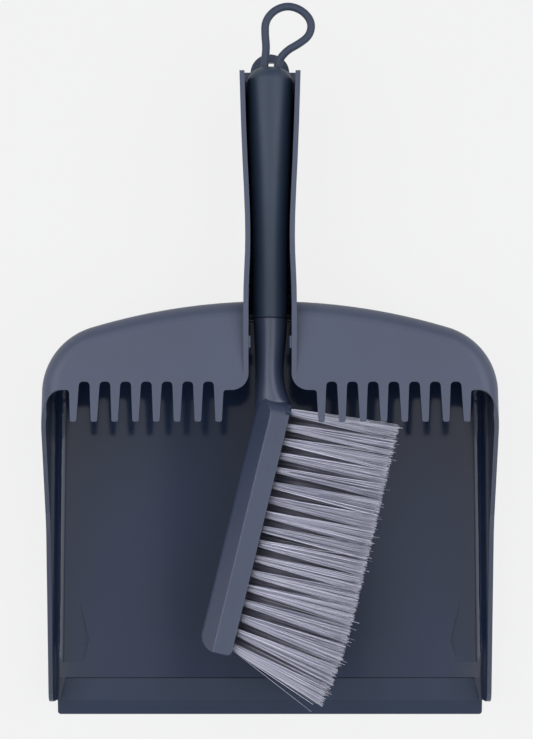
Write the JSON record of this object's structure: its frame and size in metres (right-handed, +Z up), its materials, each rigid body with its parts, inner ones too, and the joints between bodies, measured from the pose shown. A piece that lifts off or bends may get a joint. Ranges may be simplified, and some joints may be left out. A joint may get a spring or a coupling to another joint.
{
  "type": "dust pan and brush set",
  "caption": "Hooded hand dust pan with a comb edge and a soft front lip, and a tufted hand brush with a soft grip that stows in the pan's channel handle.",
  "frame": {"origin": "centre of the set's plan box, on the surface that the pan stands on", "axes": "+Z up; +Y from the front lip to the hanging tab; +X to the right, seen from above with the lip at the bottom"},
  "size_m": [0.2246, 0.3581, 0.06],
  "materials": {
    "pan_plastic": "satin outside, glossy inside the tray",
    "lip_rubber": "smooth",
    "brush_plastic": "satin",
    "grip_rubber": "soft touch",
    "loop_rubber": "smooth",
    "bristle": "crimped fibre",
    "staple_steel": "drawn wire"
  },
  "bodies": {
    "pan": {"pan_body": "pan_plastic", "front_lip": "lip_rubber"},
    "brush": {"brush_body": "brush_plastic", "grip_sleeve": "grip_rubber", "hanging_loop": "loop_rubber", "bristle_row_1": "bristle", "bristle_row_2": "bristle", "bristle_row_3": "bristle", "bristle_row_4": "bristle", "staple_row_1": "staple_steel", "staple_row_2": "staple_steel", "staple_row_3": "staple_steel", "staple_row_4": "staple_steel"}
  },
  "joints": [
    {"name": "brush_lift", "type": "slide", "parent": "pan", "child": "brush", "axis": [0, -0.7071, 0.7071], "range_m": [0, 0.2]}
  ]
}
